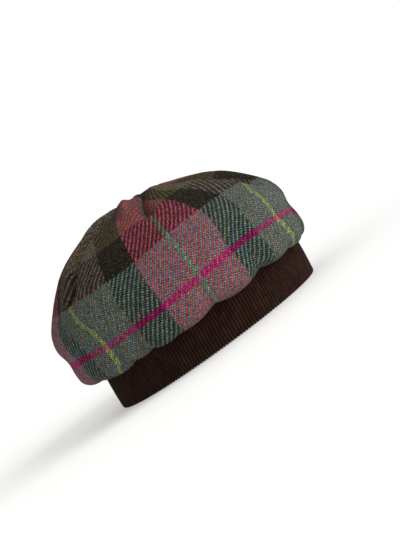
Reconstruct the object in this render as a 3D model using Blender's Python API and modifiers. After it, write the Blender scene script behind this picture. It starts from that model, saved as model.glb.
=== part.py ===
# A soft tweed beret: a gathered cloth crown sewn to a ribbed knit band.
# Metres, +Z up, +X towards the wearer's forehead, +Y towards the wearer's left.
# The origin is the middle of the head opening, on the plane that the band rests on.

import math

import bmesh
import bpy
from mathutils import Vector

# The knit band, measured over its ribs
BAND_LENGTH = 0.2035
BAND_WIDTH = 0.1580
BAND_HEIGHT = 0.0400
BAND_WALL = 0.0036
BAND_LEAN = 0.0045
RIB_PITCH = 0.0030
RIB_RELIEF = 0.0005
FOLD_ROUNDING = 0.0009

# The cloth crown, measured over its outer face
# The dome leans back by CROWN_LEAN, and it is gathered GATHER_FORWARD in front of the middle
CROWN_LENGTH = 0.2400
CROWN_WIDTH = 0.2180
CROWN_HEIGHT = 0.1450
CROWN_LEAN = 0.0040
GATHER_FORWARD = 0.0130
GATHER_RISE = 0.95
CLOTH = 0.0018
HEM_DROP = 0.0100
FOLD_DEPTH = 0.0120
PUCKER_DEPTH = 0.0055

# The cloth lies on top of the band by the seam allowance, with this clearance
SEAM_ALLOWANCE = 0.0025
SEAM_GAP = 0.0003

# How a fold is shaped across: shares of its width, and how sharp its bottom is
VALLEY_SPREAD = 0.55
VALLEY_SHARPNESS = 1.25
RIDGE_PLACE = 1.15
RIDGE_SPREAD = 0.50
PLEAT_SHARPNESS = 1.3
# A ridge begins this much reach inside its valley's end, and rises over this much reach
RIDGE_START = 0.12
RIDGE_FADE = 0.30
# Reach inside which the folds meet and flatten, and where the dome starts and ends to lean
GATHER_REACH = 0.22
NARROWEST_REACH = 0.12
LEAN_STARTS = 0.9
LEAN_ENDS = 0.5

CROWN_COLUMNS = 90
ELLIPSE_STEPS = 1440

TWEED_COLOUR = (0.115, 0.105, 0.095, 1.0)
KNIT_COLOUR = (0.024, 0.011, 0.007, 1.0)

# The cloth runs from the seam, down behind the hem and out to the rim.
# out: share of the way from the band's face to the rim
# drop: share of HEM_DROP below the seam
# pull, lift: shares of PUCKER_DEPTH by which a full pleat draws the row in and up
UNDERSIDE = (
    {"out": 0.06, "drop": 0.50, "pull": 0.00, "lift": 0.25},
    {"out": 0.13, "drop": 0.92, "pull": 0.00, "lift": 0.70},
    {"out": 0.40, "drop": 1.00, "pull": 0.35, "lift": 0.90},
    {"out": 0.78, "drop": 0.68, "pull": 0.70, "lift": 0.80},
    {"out": 0.96, "drop": 0.16, "pull": 0.80, "lift": 0.45},
)

# From the rim up and in to the centre of the top.
# reach: share of the crown's half length and half width
# rise: share of the height between the top of the band and the top of the crown
DOME = (
    {"reach": 1.000, "rise": 0.070, "pull": 0.70, "lift": 0.20},
    {"reach": 0.990, "rise": 0.190, "pull": 0.40, "lift": 0.00},
    {"reach": 1.000, "rise": 0.330, "pull": 0.12, "lift": 0.00},
    {"reach": 0.976, "rise": 0.425, "pull": 0.00, "lift": 0.00},
    {"reach": 0.915, "rise": 0.525, "pull": 0.00, "lift": 0.00},
    {"reach": 0.838, "rise": 0.620, "pull": 0.00, "lift": 0.00},
    {"reach": 0.735, "rise": 0.725, "pull": 0.00, "lift": 0.00},
    {"reach": 0.610, "rise": 0.822, "pull": 0.00, "lift": 0.00},
    {"reach": 0.460, "rise": 0.900, "pull": 0.00, "lift": 0.00},
    {"reach": 0.300, "rise": 0.972, "pull": 0.00, "lift": 0.00},
    {"reach": 0.140, "rise": 0.995, "pull": 0.00, "lift": 0.00},
)

# Valleys that run from the gathered centre outwards, each between two soft ridges.
# outer, inner: angle in degrees round the oval at the rim end and at the centre end
# depth: share of FOLD_DEPTH at the rim end; tail: what is left of it at the centre end
# width: share of the crown's half length from the valley to the crest of its ridges
# start, fade: reach at which the valley begins, and the reach that it takes to deepen
# before, after: height of the ridges on the side of smaller and of larger angles
TOP_FOLDS = (
    {"outer": -151, "inner": -136, "depth": 1.35, "tail": 0.40, "width": 0.15,
     "start": 0.875, "fade": 0.06, "before": 0.10, "after": 0.34},
    {"outer": -116, "inner": -118, "depth": 0.16, "tail": 1.00, "width": 0.14,
     "start": 0.700, "fade": 0.20, "before": 0.30, "after": 0.30},
    {"outer": -84, "inner": -62, "depth": 0.90, "tail": 1.00, "width": 0.11,
     "start": 0.660, "fade": 0.10, "before": 0.22, "after": 0.36},
    {"outer": -9, "inner": -18, "depth": 1.00, "tail": 1.00, "width": 0.27,
     "start": 1.000, "fade": 0.22, "before": 0.06, "after": 0.17},
    {"outer": 52, "inner": 48, "depth": 0.55, "tail": 1.00, "width": 0.15,
     "start": 0.900, "fade": 0.20, "before": 0.10, "after": 0.10},
    {"outer": 92, "inner": 88, "depth": 0.35, "tail": 1.00, "width": 0.13,
     "start": 0.780, "fade": 0.20, "before": 0.20, "after": 0.20},
    {"outer": 128, "inner": 120, "depth": 0.55, "tail": 1.00, "width": 0.15,
     "start": 0.920, "fade": 0.20, "before": 0.20, "after": 0.30},
    {"outer": 166, "inner": 166, "depth": 0.30, "tail": 1.00, "width": 0.14,
     "start": 0.800, "fade": 0.20, "before": 0.30, "after": 0.30},
)

# Small pleats where the cloth is drawn in to the band.
# angle: degrees round the oval
# depth: share of PUCKER_DEPTH
# width: degrees from the pleat to where the cloth is full again
PUCKERS = (
    {"angle": -12, "depth": 0.45, "width": 7},
    {"angle": -33, "depth": 0.40, "width": 6},
    {"angle": -55, "depth": 0.90, "width": 9},
    {"angle": -84, "depth": 0.75, "width": 8},
    {"angle": -122, "depth": 0.80, "width": 7},
    {"angle": -132, "depth": 0.85, "width": 6},
    {"angle": -158, "depth": 0.50, "width": 8},
    {"angle": 176, "depth": 0.80, "width": 8},
    {"angle": 151, "depth": 0.60, "width": 7},
    {"angle": 127, "depth": 0.90, "width": 8},
    {"angle": 98, "depth": 0.65, "width": 7},
    {"angle": 71, "depth": 0.85, "width": 8},
    {"angle": 44, "depth": 0.60, "width": 7},
    {"angle": 17, "depth": 0.80, "width": 8},
)


def clear_scene():
    for item in list(bpy.data.objects):
        bpy.data.objects.remove(item, do_unlink=True)


def mix(first, second, share):
    return first + (second - first) * share


def smooth_step(low, high, value):
    share = min(max((value - low) / (high - low), 0.0), 1.0)
    return share * share * (3.0 - 2.0 * share)


def angle_between(first, second):
    return (first - second + 180.0) % 360.0 - 180.0


def make_material(name, colour, roughness):
    material = bpy.data.materials.new(name)
    material.use_nodes = True
    shader = material.node_tree.nodes["Principled BSDF"]
    shader.inputs["Base Color"].default_value = colour
    shader.inputs["Roughness"].default_value = roughness
    shader.inputs["Metallic"].default_value = 0.0
    return material


def even_angles(count, half_length, half_width):
    """Angles that cut an ellipse into pieces of the same length."""
    lengths = [0.0]
    for step in range(ELLIPSE_STEPS):
        angle = 2.0 * math.pi * (step + 0.5) / ELLIPSE_STEPS
        speed = math.hypot(half_length * math.sin(angle), half_width * math.cos(angle))
        lengths.append(lengths[-1] + speed * 2.0 * math.pi / ELLIPSE_STEPS)
    angles = []
    step = 0
    for piece in range(count):
        wanted = lengths[-1] * piece / count
        while lengths[step + 1] < wanted:
            step += 1
        part = (wanted - lengths[step]) / (lengths[step + 1] - lengths[step])
        angles.append(2.0 * math.pi * (step + part) / ELLIPSE_STEPS)
    return angles, lengths[-1]


def dome_middle(reach):
    """Where the middle of an oval of the dome lies along X."""
    lean = -CROWN_LEAN * smooth_step(LEAN_STARTS, LEAN_ENDS, reach)
    return mix(GATHER_FORWARD, lean, smooth_step(0.0, LEAN_ENDS, reach))


def crown_rows():
    """The ovals that the cloth passes through, from the seam to the gathered centre."""
    seat = BAND_HEIGHT + SEAM_GAP
    seam_edges = (-SEAM_ALLOWANCE, CLOTH / 3)
    rows = []
    for beyond in seam_edges:
        rows.append({
            "half_length": BAND_LENGTH / 2 + beyond,
            "half_width": BAND_WIDTH / 2 + beyond,
            "middle": BAND_LEAN, "height": seat, "reach": 1.0, "pull": 0.0, "lift": 0.0,
        })
    for row in UNDERSIDE:
        rows.append({
            "half_length": mix(BAND_LENGTH, CROWN_LENGTH, row["out"]) / 2,
            "half_width": mix(BAND_WIDTH, CROWN_WIDTH, row["out"]) / 2,
            "middle": mix(BAND_LEAN, 0.0, row["out"]),
            "height": seat - row["drop"] * HEM_DROP,
            "reach": 1.0, "pull": row["pull"], "lift": row["lift"],
        })
    for row in DOME:
        rows.append({
            "half_length": row["reach"] * CROWN_LENGTH / 2,
            "half_width": row["reach"] * CROWN_WIDTH / 2,
            "middle": dome_middle(row["reach"]),
            "height": mix(BAND_HEIGHT, CROWN_HEIGHT, row["rise"]),
            "reach": row["reach"], "pull": row["pull"], "lift": row["lift"],
        })
    rows.append({
        "half_length": 0.0, "half_width": 0.0, "middle": dome_middle(0.0),
        "height": mix(BAND_HEIGHT, CROWN_HEIGHT, GATHER_RISE), "reach": 0.0, "pull": 0.0, "lift": 0.0,
    })
    return rows


def lean_with_folds(degrees, reach):
    """Turn a column of the cloth so that it runs along the folds beside it."""
    folds = sorted(TOP_FOLDS, key=lambda fold: fold["outer"])
    folds = [dict(folds[-1], outer=folds[-1]["outer"] - 360, inner=folds[-1]["inner"] - 360)] + folds
    folds.append(dict(folds[1], outer=folds[1]["outer"] + 360, inner=folds[1]["inner"] + 360))
    for left, right in zip(folds, folds[1:]):
        if left["outer"] <= degrees <= right["outer"]:
            share = (degrees - left["outer"]) / (right["outer"] - left["outer"])
            turn = mix(left["inner"] - left["outer"], right["inner"] - right["outer"], share)
            return degrees + turn * (1.0 - reach)
    return degrees


def fold_height(degrees, reach):
    """How far the cloth stands above (or below) the plain dome, along its normal."""
    height = 0.0
    for fold in TOP_FOLDS:
        middle = mix(fold["inner"], fold["outer"], reach)
        away = math.radians(angle_between(degrees, middle)) * max(reach, NARROWEST_REACH)
        share = abs(away) / fold["width"]
        valley = math.exp(-((share / VALLEY_SPREAD) ** VALLEY_SHARPNESS))
        ridge = math.exp(-(((share - RIDGE_PLACE) / RIDGE_SPREAD) ** 2))
        ridge *= fold["after"] if away > 0.0 else fold["before"]
        valley *= smooth_step(fold["start"], fold["start"] - fold["fade"], reach)
        valley *= mix(fold["tail"], 1.0, reach)
        ridge *= smooth_step(0.0, RIDGE_FADE, fold["start"] - RIDGE_START - reach)
        height += (ridge - valley) * fold["depth"]
    return height * FOLD_DEPTH * smooth_step(0.0, GATHER_REACH, reach)


def pleat_strength(degrees):
    """How strongly the pleats draw the cloth in at this angle, from 0 to about 1."""
    strength = 0.0
    for pucker in PUCKERS:
        away = abs(angle_between(degrees, pucker["angle"])) / pucker["width"]
        strength += pucker["depth"] * math.exp(-(away ** PLEAT_SHARPNESS))
    return strength


def crown_point(rows, index, degrees):
    """The point of the cloth's outer face on one row, at an angle round the oval."""
    before, row, after = rows[max(index - 1, 0)], rows[index], rows[index + 1]
    degrees = lean_with_folds(degrees, row["reach"])
    angle = math.radians(degrees)
    outward = Vector((row["half_width"] * math.cos(angle), row["half_length"] * math.sin(angle), 0.0))
    outward.normalize()
    run = after["half_length"] - before["half_length"]
    climb = after["height"] - before["height"]
    face_normal = (outward * climb - Vector((0.0, 0.0, run))).normalized()
    pleat = pleat_strength(degrees) * PUCKER_DEPTH
    point = Vector((
        row["middle"] + row["half_length"] * math.cos(angle),
        row["half_width"] * math.sin(angle),
        row["height"] + pleat * row["lift"],
    ))
    point -= outward * pleat * row["pull"]
    if row["reach"] < 1.0:
        point += face_normal * fold_height(degrees, row["reach"])
    return point


def loft(rings, closed_section):
    """A mesh through unlike ovals of as many points; closed_section joins last to first."""
    mesh = bmesh.new()
    rows = [[mesh.verts.new(point) for point in ring] for ring in rings]
    pairs = list(zip(rows, rows[1:]))
    if closed_section:
        pairs.append((rows[-1], rows[0]))
    for lower, upper in pairs:
        for column in range(len(lower)):
            following = (column + 1) % len(lower)
            mesh.faces.new((lower[column], lower[following], upper[following], upper[column]))
    return mesh, rows


def finish(mesh, name, material, collection):
    data = bpy.data.meshes.new(name)
    mesh.to_mesh(data)
    mesh.free()
    data.materials.append(material)
    item = bpy.data.objects.new(name, data)
    collection.objects.link(item)
    return item


def build_crown(collection):
    """One skin of cloth from the seam to the gathered centre, thickened inwards."""
    rows = crown_rows()
    steps = [360.0 * column / CROWN_COLUMNS - 180.0 for column in range(CROWN_COLUMNS)]
    rings = [[crown_point(rows, index, step) for step in steps] for index in range(len(rows) - 1)]
    mesh, rings = loft(rings, closed_section=False)
    centre = mesh.verts.new((rows[-1]["middle"], 0.0, rows[-1]["height"]))
    last = rings[-1]
    for column in range(CROWN_COLUMNS):
        mesh.faces.new((last[column], last[(column + 1) % CROWN_COLUMNS], centre))
    crown = finish(mesh, "crown", make_material("tweed", TWEED_COLOUR, 0.9), collection)
    crown.data.shade_smooth()
    thickness = crown.modifiers.new("cloth", "SOLIDIFY")
    thickness.thickness = CLOTH
    thickness.offset = -1.0


def build_band(collection):
    """A doubled tube of rib knit that leans forward towards its top."""
    _, girth = even_angles(1, BAND_LENGTH / 2, BAND_WIDTH / 2)
    ribs = round(girth / RIB_PITCH)
    angles, _ = even_angles(2 * ribs, BAND_LENGTH / 2, BAND_WIDTH / 2)
    # inset: how far the corner lies inside the outer face
    # height: above the rest plane
    # ribbed: which way the grooves between the ribs go into the knit
    section = (
        {"inset": BAND_WALL, "height": BAND_HEIGHT, "ribbed": -1.0},
        {"inset": BAND_WALL, "height": FOLD_ROUNDING, "ribbed": -1.0},
        {"inset": BAND_WALL - FOLD_ROUNDING, "height": 0.0, "ribbed": 0.0},
        {"inset": FOLD_ROUNDING, "height": 0.0, "ribbed": 0.0},
        {"inset": 0.0, "height": FOLD_ROUNDING, "ribbed": 1.0},
        {"inset": 0.0, "height": BAND_HEIGHT, "ribbed": 1.0},
    )
    rings = []
    for corner in section:
        middle = BAND_LEAN * corner["height"] / BAND_HEIGHT
        ring = []
        for column, angle in enumerate(angles):
            groove = RIB_RELIEF * (column % 2) * corner["ribbed"]
            inset = corner["inset"] + groove
            ring.append((
                middle + (BAND_LENGTH / 2 - inset) * math.cos(angle),
                (BAND_WIDTH / 2 - inset) * math.sin(angle),
                corner["height"],
            ))
        rings.append(ring)
    mesh, _ = loft(rings, closed_section=True)
    finish(mesh, "rib_band", make_material("rib_knit", KNIT_COLOUR, 0.85), collection)


def main():
    clear_scene()
    collection = bpy.data.collections.new("tweed_beret")
    bpy.context.scene.collection.children.link(collection)
    build_crown(collection)
    build_band(collection)


main()
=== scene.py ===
# %% [markdown]
# # A tweed beret
# A beret of this make is two pieces. The crown is a ring of tartan tweed, gathered to a point in the middle
# of its top. The band is a tube of rib knit folded double, and the crown's lower edge is pleated into it.
#
# The frame holds both pieces as plain solids of the right size. This lesson makes the cloth that stands in
# their place: its folds are modelled, and its yarns are worked out in the material.

# %% Load the frame
import math

import bpy
import numpy as np
from mathutils import Matrix, Vector, noise


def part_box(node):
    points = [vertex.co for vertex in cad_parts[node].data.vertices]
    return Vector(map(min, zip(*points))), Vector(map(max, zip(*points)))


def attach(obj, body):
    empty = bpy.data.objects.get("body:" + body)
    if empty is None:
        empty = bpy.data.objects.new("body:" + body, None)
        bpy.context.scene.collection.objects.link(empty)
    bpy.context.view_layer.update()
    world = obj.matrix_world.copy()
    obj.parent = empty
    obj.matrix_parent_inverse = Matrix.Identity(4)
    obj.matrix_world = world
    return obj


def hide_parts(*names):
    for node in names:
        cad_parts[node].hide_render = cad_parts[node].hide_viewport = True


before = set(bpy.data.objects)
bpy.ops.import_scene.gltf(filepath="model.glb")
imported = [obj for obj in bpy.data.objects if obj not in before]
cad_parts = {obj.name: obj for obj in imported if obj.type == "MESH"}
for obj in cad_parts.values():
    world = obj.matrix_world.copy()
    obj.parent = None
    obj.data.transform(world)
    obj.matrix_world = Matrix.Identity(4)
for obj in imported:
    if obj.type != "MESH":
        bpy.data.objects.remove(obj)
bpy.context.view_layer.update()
MM = 0.001
print("nodes:", sorted(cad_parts))

# %% [markdown]
# ## Sizes
# Everything that is made here follows the frame, so the sizes of the two pieces are read from their boxes.
# The band leans: its top edge lies a little further forward than its folded edge, and that much comes off
# its box to give its own length. The crown's highest folds stand above its plain dome, so they come off too.

# %% Read the sizes
BAND_LEAN = 4.5 * MM
FOLDS_ABOVE_DOME = 1.3 * MM
band_low, band_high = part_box("rib_band")
crown_low, crown_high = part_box("crown")
band_length = band_high.x - band_low.x - BAND_LEAN
band_width = band_high.y - band_low.y
band_height = band_high.z
crown_length = crown_high.x - crown_low.x
crown_width = crown_high.y - crown_low.y
crown_height = crown_high.z - FOLDS_ABOVE_DOME
print(f"band {band_length / MM:.1f} x {band_width / MM:.1f} x {band_height / MM:.1f} mm")
print(f"crown {crown_length / MM:.1f} x {crown_width / MM:.1f} x {crown_height / MM:.1f} mm")

# %% [markdown]
# ## The crown's outline
# Seen from the side, the cloth starts on top of the band, hangs down behind its own hem, turns out to the
# rim and climbs over the dome to the gathered centre. That line could be drawn as a curve object and swept,
# but the hat is oval and its folds differ all round. So the line is a short table of ovals, in shares of
# the sizes above, and a smooth curve is read through them.

# %% Table of ovals
CLOTH = 1.8 * MM
HEM_DROP = 10.0 * MM
SEAM_GAP = 0.3 * MM
# where the cloth begins on the band's top edge and leaves it, from the band's outer face
SEAM_OFFSETS = (-2.5 * MM, CLOTH / 3)

# out: share of the way from the band to the rim; drop: share of HEM_DROP below the seam
# pull, lift: how much a pleat draws the oval in and up
UNDERSIDE = (
    (0.06, 0.50, 0.00, 0.25),
    (0.13, 0.92, 0.00, 0.70),
    (0.40, 1.00, 0.35, 0.90),
    (0.78, 0.68, 0.70, 0.80),
    (0.96, 0.16, 0.80, 0.45),
)
# reach: share of the crown's half length and half width; rise: share of the height above the band
DOME = (
    (1.000, 0.070, 0.70, 0.20),
    (0.990, 0.190, 0.40, 0.00),
    (1.000, 0.330, 0.12, 0.00),
    (0.976, 0.425, 0.00, 0.00),
    (0.915, 0.525, 0.00, 0.00),
    (0.838, 0.620, 0.00, 0.00),
    (0.735, 0.725, 0.00, 0.00),
    (0.610, 0.822, 0.00, 0.00),
    (0.460, 0.900, 0.00, 0.00),
    (0.300, 0.972, 0.00, 0.00),
    (0.140, 0.985, 0.00, 0.00),
    (0.000, 0.950, 0.00, 0.00),
)
print("ovals under the hem:", len(UNDERSIDE), "and over it:", len(DOME))

# %% Turn the table into sizes
GATHER_FORWARD = 13.0 * MM
CROWN_LEAN = 4.0 * MM
# the dome leans back between these two reaches
LEAN_BEGINS = 0.9
LEAN_IS_FULL = 0.5


def mix(first, second, share):
    """The first value where share is 0, the second where it is 1."""
    return first + (second - first) * share


def smooth_step(low, high, value):
    """From 0 at low to 1 at high, with soft ends."""
    share = np.clip((value - low) / (high - low), 0.0, 1.0)
    return share * share * (3.0 - 2.0 * share)


def dome_middle(reach):
    """The dome leans back, but it is gathered in front of the middle."""
    lean = -CROWN_LEAN * smooth_step(LEAN_BEGINS, LEAN_IS_FULL, reach)
    return mix(GATHER_FORWARD, lean, smooth_step(0.0, LEAN_IS_FULL, reach))


def crown_ovals():
    """One row of numbers for each oval: half length, half width, middle, height, reach, pull, lift."""
    seat = band_height + SEAM_GAP
    ovals = [(band_length / 2 + beyond, band_width / 2 + beyond, BAND_LEAN, seat, 1.0, 0.0, 0.0)
             for beyond in SEAM_OFFSETS]
    for out, drop, pull, lift in UNDERSIDE:
        sizes = mix(band_length, crown_length, out) / 2, mix(band_width, crown_width, out) / 2
        ovals.append((*sizes, mix(BAND_LEAN, 0.0, out), seat - drop * HEM_DROP, 1.0, pull, lift))
    for reach, rise, pull, lift in DOME:
        sizes = reach * crown_length / 2, reach * crown_width / 2
        level = mix(band_height, crown_height, rise)
        ovals.append((*sizes, dome_middle(reach), level, reach, pull, lift))
    return np.array(ovals)


ovals = crown_ovals()
FIRST_OF_DOME = len(SEAM_OFFSETS) + len(UNDERSIDE)
print("ovals in all:", len(ovals))

# %% [markdown]
# The ovals lie at uneven distances along the cloth. Slopes at the ovals come from their neighbours, so the
# curve has no corners.

# %% Read a smooth curve through the ovals
CLOTH_ROWS = 132


def smooth_through(places, values, wanted):
    """A curve through values, which are given at uneven places, read at the wanted places."""
    slopes = np.gradient(values, places)
    left = np.clip(np.searchsorted(places, wanted, side="right") - 1, 0, len(places) - 2)
    gap = places[left + 1] - places[left]
    share = (wanted - places[left]) / gap
    straight = values[left] * (1 + 2 * share) * (1 - share) ** 2
    straight += values[left + 1] * share ** 2 * (3 - 2 * share)
    bend = slopes[left] * share * (1 - share) ** 2 - slopes[left + 1] * share ** 2 * (1 - share)
    return straight + bend * gap


def cloth_way(table):
    """Distance along the cloth from the seam to each oval, on the mean of the two half sizes."""
    radius = (table[:, 0] + table[:, 1]) / 2
    steps = np.hypot(np.diff(radius), np.diff(table[:, 3]))
    return np.concatenate(([0.0], np.cumsum(steps)))


oval_way = cloth_way(ovals)
way = np.linspace(0.0, oval_way[-1], CLOTH_ROWS)
rows = np.stack([smooth_through(oval_way, column, way) for column in ovals.T], axis=1)
half_length, half_width, middle, height, reach, pull, lift = (rows[:, [i]] for i in range(7))
reach = np.clip(reach, 0.0, 1.0)
print(f"cloth from seam to centre: {oval_way[-1] / MM:.0f} mm, a row every {way[1] / MM:.2f} mm")

# %% [markdown]
# ## Folds of the top
# The ring of cloth is far wider than the point that it is gathered into, so it lies in folds. Each one is
# a valley with a sharp bottom between two soft ridges, and it runs from the centre outwards. A cloth
# simulation makes folds too, but not the ones of this hat, so each is a row of a table.

# %% Table of folds
# outer, inner: degrees round the oval at the rim end and at the centre; 0 is the front, -90 the near side
# depth: share of FOLD_DEPTH at the rim end; tail: what is left of it at the centre
# start, fade: reach where the valley begins, and the reach that it takes to deepen
# widths: share of the half length from the valley to its ridge on the side of smaller and of larger degrees
# ridges: height of the ridge on those two sides
FOLD_DEPTH = 12.0 * MM
TOP_FOLDS = (
    (-152, -137, 2.00, 0.50, 0.880, 0.05, (0.05, 0.12), (0.22, 0.18)),
    (-116, -118, 0.16, 1.00, 0.700, 0.20, (0.14, 0.14), (0.30, 0.30)),
    (-84, -62, 1.25, 0.60, 0.660, 0.10, (0.10, 0.10), (0.42, 0.02)),
    (-18, 2, 1.15, 0.50, 1.000, 0.16, (0.15, 0.24), (0.04, 0.18)),
    (52, 48, 0.55, 1.00, 0.900, 0.20, (0.15, 0.15), (0.10, 0.10)),
    (92, 88, 0.35, 1.00, 0.780, 0.20, (0.13, 0.13), (0.20, 0.20)),
    (128, 120, 0.55, 1.00, 0.920, 0.20, (0.15, 0.15), (0.20, 0.30)),
    (166, 166, 0.30, 1.00, 0.800, 0.20, (0.14, 0.14), (0.30, 0.30)),
)
print("folds on the top:", len(TOP_FOLDS))

# %% The shape of a fold
# how wide and how pointed a valley is, and where its ridges lie, in shares of its widths
VALLEY_SPREAD, VALLEY_SHARPNESS = 0.55, 1.25
RIDGE_PLACE, RIDGE_SPREAD = 1.15, 0.50
# the reach by which the ridges begin later than the valley, and over which they rise
RIDGE_START, RIDGE_FADE = 0.04, 0.30
# folds get no narrower inside the first of these reaches, and flatten inside the second
NARROWEST_REACH, GATHER_REACH = 0.12, 0.30


def angle_between(first, second):
    """Degrees from the second angle to the first, by the shorter way round."""
    return (first - second + 180.0) % 360.0 - 180.0


def lean_with_folds(degrees, reach):
    """Turn the columns of the mesh so that they run along the folds."""
    outer, inner = np.array([fold[:2] for fold in TOP_FOLDS]).T
    return degrees + np.interp(degrees, outer, inner - outer, period=360) * (1.0 - reach)


def fold_height(degrees, reach):
    """How far the folds lift or sink the cloth."""
    total = np.zeros_like(degrees)
    for outer, inner, depth, tail, start, fade, widths, ridges in TOP_FOLDS:
        line = mix(inner, outer, reach)
        away = np.radians(angle_between(degrees, line)) * np.maximum(reach, NARROWEST_REACH)
        share = np.abs(away) / np.where(away > 0.0, widths[1], widths[0])
        valley = np.exp(-((share / VALLEY_SPREAD) ** VALLEY_SHARPNESS))
        ridge = np.exp(-(((share - RIDGE_PLACE) / RIDGE_SPREAD) ** 2))
        ridge *= np.where(away > 0.0, ridges[1], ridges[0])
        valley *= smooth_step(start, start - fade, reach)
        ridge *= smooth_step(0.0, RIDGE_FADE, start - RIDGE_START - reach)
        total += (ridge - valley) * depth * mix(tail, 1.0, reach)
    return total * FOLD_DEPTH * smooth_step(0.0, GATHER_REACH, reach)


print("deepest fold:", round(max(fold[2] for fold in TOP_FOLDS) * FOLD_DEPTH / MM), "mm")

# %% [markdown]
# ## Pleats at the band
# Where the crown is sewn to the band, its longer edge is taken up in small pleats. Each one draws the hem
# in and up. The fine mesh has room for what the plain solid lacks: a crease that rises from each pleat.

# %% Table of pleats
PLEAT_DEPTH = 6.5 * MM
PLEAT_SHARPNESS = 1.3
# degrees round the oval, share of PLEAT_DEPTH, degrees to where the cloth is full
PLEATS = (
    (-12, 0.55, 6), (-33, 0.50, 6), (-56, 1.00, 7), (-83, 0.85, 6), (-104, 0.35, 5),
    (-118, 1.00, 4), (-129, 1.00, 4), (-158, 0.60, 7), (176, 0.80, 7), (151, 0.60, 6),
    (127, 0.90, 7), (98, 0.65, 6), (71, 0.85, 7), (44, 0.60, 6), (17, 0.80, 7),
)
# creases: depth, half width in degrees, and how far above the hem they begin, are full and are gone
CREASE_DEPTH = 1.3 * MM
CREASE_SPREAD = 2.6
CREASE_BEGINS, CREASE_IS_FULL = -2.0 * MM, 3.0 * MM
CREASE_RISE = 26.0 * MM


def pleat_strength(degrees, spread=None):
    """How strongly the pleats draw the cloth; a spread in degrees stands in for their own widths."""
    strength = np.zeros_like(degrees)
    for angle, depth, width in PLEATS:
        away = np.abs(angle_between(degrees, angle)) / (spread or width)
        strength += depth * np.exp(-(away ** PLEAT_SHARPNESS))
    return strength


def crease_height(degrees, above_hem):
    """The narrow creases that rise from the pleats and fade out up the side."""
    fade = smooth_step(CREASE_BEGINS, CREASE_IS_FULL, above_hem) * smooth_step(CREASE_RISE, 0.0, above_hem)
    return -pleat_strength(degrees, CREASE_SPREAD) * CREASE_DEPTH * fade


print("pleats at the band:", len(PLEATS))

# %% [markdown]
# ## Gathers at the centre
# The last of the cloth is drawn up on a thread into many small gathers. They are sharpest a finger's width
# from the centre, and die away over the dome. Their places are uneven, but seeded, so that every run
# makes the same hat.

# %% Small gathers
GATHERS = 30
GATHER_HEIGHT = 1.5 * MM
GATHER_ROUNDNESS = 1.7
# share of a gather's height that lies below the plain cloth
GATHER_SUNK = 0.6
# reaches where the gathers are full grown, where they begin to die away, and where they are gone
GATHERS_GROWN, GATHERS_FADE, GATHERS_GONE = 0.09, 0.10, 0.46
shuffle = np.random.default_rng(7)
gather_gaps = shuffle.uniform(0.6, 1.4, GATHERS)
gather_edges = np.concatenate(([0.0], np.cumsum(gather_gaps))) * 360.0 / gather_gaps.sum()
gather_sizes = shuffle.uniform(0.4, 1.0, GATHERS)


def gather_height(degrees, reach):
    """Small rounded pleats between sharp grooves, near the centre."""
    turned = degrees % 360.0
    which = np.clip(np.searchsorted(gather_edges, turned, side="right") - 1, 0, GATHERS - 1)
    share = (turned - gather_edges[which]) / np.diff(gather_edges)[which]
    bulge = 1.0 - np.abs(2.0 * share - 1.0) ** GATHER_ROUNDNESS
    near = smooth_step(0.0, GATHERS_GROWN, reach) * smooth_step(GATHERS_GONE, GATHERS_FADE, reach)
    return (bulge - GATHER_SUNK) * gather_sizes[which] * near * GATHER_HEIGHT


print("gathers at the centre:", GATHERS)

# %% [markdown]
# ## Put the cloth together
# A grid of points carries all of it: rows along the cloth, columns round the hat. Large folds follow the
# plain dome's own slope. Everything small is added along the slope of the folded cloth, with soft dents
# from noise so that no stretch of cloth is perfectly smooth.

# %% The grid of points
CLOTH_COLUMNS = 352
RING_SEAM = 98.3
# dents and smaller ripples: their size and depth
DENTS = ((42.0 * MM, 1.1 * MM), (15.0 * MM, 0.35 * MM))
# no dents on the sewn edge, over this width, nor inside this reach at the centre
SEWN_WIDTH = 12.0 * MM
DRAWN_REACH = 0.1


def unit(vectors):
    """Arrows of the same direction that are all one long, save those that are nought."""
    return vectors / np.maximum(np.linalg.norm(vectors, axis=2, keepdims=True), 1e-12)


def plain_crown(degrees):
    """The grid with its large folds and pleats."""
    turned = lean_with_folds(degrees, reach)
    angle = np.radians(turned)
    outward = unit(np.stack([half_width * np.cos(angle), half_length * np.sin(angle)], axis=2))
    run = np.gradient(half_length[:, 0])[:, None]
    climb = np.gradient(height[:, 0])[:, None]
    slope = np.hypot(run, climb)
    pleat = pleat_strength(turned) * PLEAT_DEPTH
    folds = fold_height(turned, reach)
    sideways = folds * climb / slope - pleat * pull
    points = np.stack([
        middle + half_length * np.cos(angle) + outward[:, :, 0] * sideways,
        half_width * np.sin(angle) + outward[:, :, 1] * sideways,
        height + pleat * lift - folds * run / slope,
    ], axis=2)
    return points, turned


def grid_normals(points):
    """Which way the cloth faces at each point of the grid."""
    along = np.gradient(points, axis=0)
    around = np.roll(points, -1, axis=1) - np.roll(points, 1, axis=1)
    return unit(np.cross(around, along))


def dents(points):
    """Soft unevenness in metres, from noise at two sizes."""
    total = np.zeros(points.shape[:2])
    for size, depth in DENTS:
        values = [noise.noise(Vector(point) / size) for point in points.reshape(-1, 3)]
        total += np.reshape(values, total.shape) * depth
    return total


column_degrees = RING_SEAM - 360.0 + 360.0 * np.arange(CLOTH_COLUMNS) / CLOTH_COLUMNS
crown_grid, turned_degrees = plain_crown(column_degrees[None, :])
above_hem = way[:, None] - oval_way[FIRST_OF_DOME - 1]
loose = smooth_step(0.0, SEWN_WIDTH, way[:, None]) * smooth_step(0.0, DRAWN_REACH, reach)
detail = dents(crown_grid) * loose
detail += gather_height(turned_degrees, reach) + crease_height(turned_degrees, above_hem)
crown_grid = crown_grid + grid_normals(crown_grid) * detail[:, :, None]
print("points in the crown's grid:", crown_grid.shape[0] * crown_grid.shape[1])

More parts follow.
